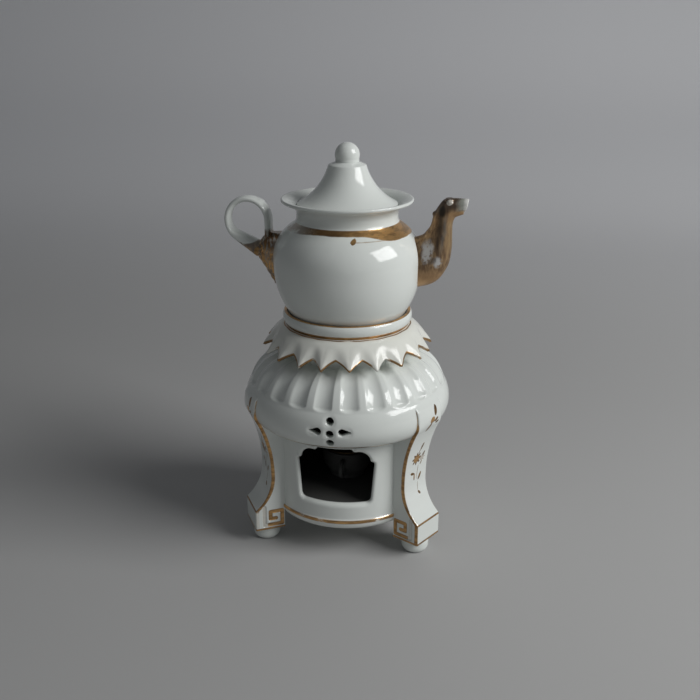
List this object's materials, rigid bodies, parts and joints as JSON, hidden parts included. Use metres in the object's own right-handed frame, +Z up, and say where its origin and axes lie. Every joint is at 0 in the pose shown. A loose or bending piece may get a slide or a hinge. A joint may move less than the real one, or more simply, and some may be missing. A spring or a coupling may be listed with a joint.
{
  "type": "porcelain tea warmer",
  "caption": "Lidded porcelain teapot with an animal-head spout and loop handle, seated in the ring of a hollow, fluted and frilled stand that is heated by an oil lamp behind a shaped window.",
  "frame": {"origin": "on the turning axis of stand and pot, on the surface that the feet stand on", "axes": "+Z up along the turning axis, -Y out of the lamp window, +X towards the spout"},
  "size_m": [0.143, 0.1253, 0.2397],
  "materials": {
    "glazed_porcelain": "glossy clear glaze on white porcelain",
    "gilded_porcelain": "worn gilding on glazed porcelain",
    "smoked_porcelain": "smoke-stained glazed porcelain",
    "burner_brass": "dull, smoke-darkened brass",
    "wick_cotton": "charred cotton"
  },
  "bodies": {
    "stand": {"drum": "glazed_porcelain", "dome": "glazed_porcelain", "seat_ring": "glazed_porcelain", "ruffle_collar": "glazed_porcelain", "leg_left": "glazed_porcelain", "leg_right": "glazed_porcelain", "leg_back": "glazed_porcelain", "foot_pad_left": "glazed_porcelain", "foot_pad_right": "glazed_porcelain", "foot_pad_back": "glazed_porcelain"},
    "pot": {"pot_body": "glazed_porcelain", "spout": "gilded_porcelain", "handle": "gilded_porcelain"},
    "lid": {"lid_cover": "glazed_porcelain", "lid_knob": "glazed_porcelain"},
    "lamp": {"lamp_cup": "smoked_porcelain", "lamp_ear": "smoked_porcelain"},
    "burner": {"wick_plate": "burner_brass", "wick_tube": "burner_brass", "wick": "wick_cotton"}
  },
  "joints": [
    {"name": "pot_lift", "type": "slide", "parent": "stand", "child": "pot", "axis": [0, 0, 1], "range_m": [0, 0.08]},
    {"name": "lid_lift", "type": "slide", "parent": "pot", "child": "lid", "axis": [0, 0, 1], "range_m": [0, 0.06]},
    {"name": "lamp_out", "type": "slide", "parent": "stand", "child": "lamp", "axis": [0, -0.9962, 0.0872], "range_m": [0, 0.12]},
    {"name": "burner_lift", "type": "slide", "parent": "lamp", "child": "burner", "axis": [0, 0, 1], "range_m": [0, 0.025]}
  ]
}
